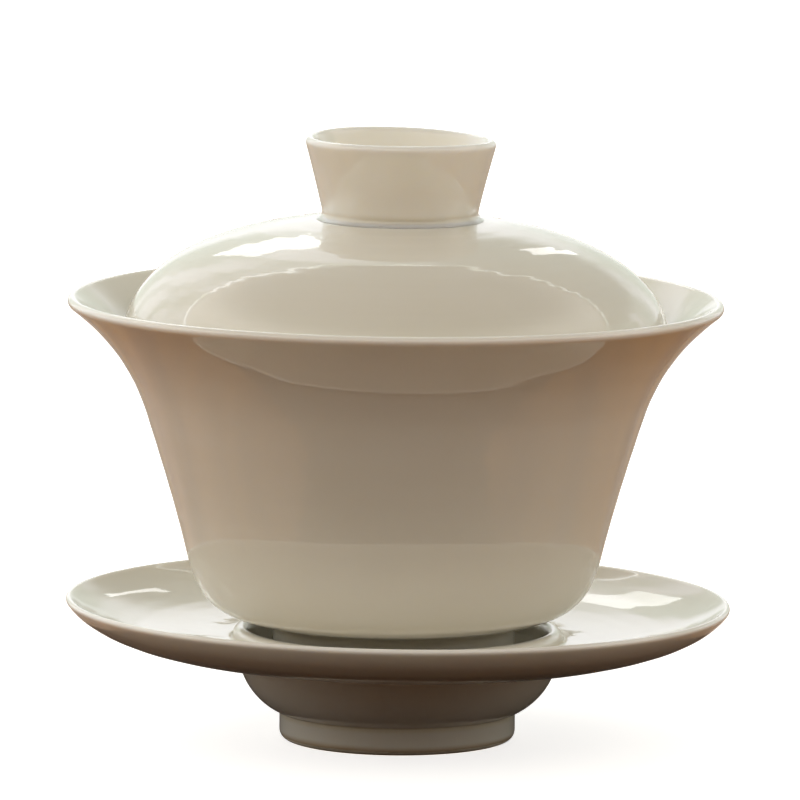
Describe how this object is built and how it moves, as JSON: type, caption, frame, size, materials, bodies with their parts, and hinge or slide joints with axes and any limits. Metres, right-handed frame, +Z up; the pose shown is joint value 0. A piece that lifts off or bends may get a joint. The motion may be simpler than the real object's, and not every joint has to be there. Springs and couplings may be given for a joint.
{
  "type": "lidded tea bowl with saucer",
  "caption": "Flared porcelain tea bowl with a domed, ring-knobbed lid resting inside its rim, standing in the well of a footed saucer.",
  "frame": {"origin": "centre of the saucer's foot ring, on the surface that it stands on", "axes": "+Z up along the axis of the saucer, bowl and lid; the object is round, so +X and +Y are arbitrary"},
  "size_m": [0.0976, 0.0976, 0.089],
  "materials": {
    "saucer_glaze": "clear gloss glaze over warm ivory porcelain",
    "bowl_glaze": "clear gloss glaze over warm ivory porcelain",
    "lid_glaze": "clear gloss glaze over warm ivory porcelain"
  },
  "bodies": {
    "saucer": {"saucer": "saucer_glaze"},
    "bowl": {"bowl": "bowl_glaze"},
    "lid": {"lid": "lid_glaze", "lid_knob": "lid_glaze"}
  },
  "joints": [
    {"name": "bowl_lift", "type": "slide", "parent": "saucer", "child": "bowl", "axis": [0, 0, 1], "range_m": [0, 0.05]},
    {"name": "lid_lift", "type": "slide", "parent": "bowl", "child": "lid", "axis": [0, 0, 1], "range_m": [0, 0.05]}
  ]
}
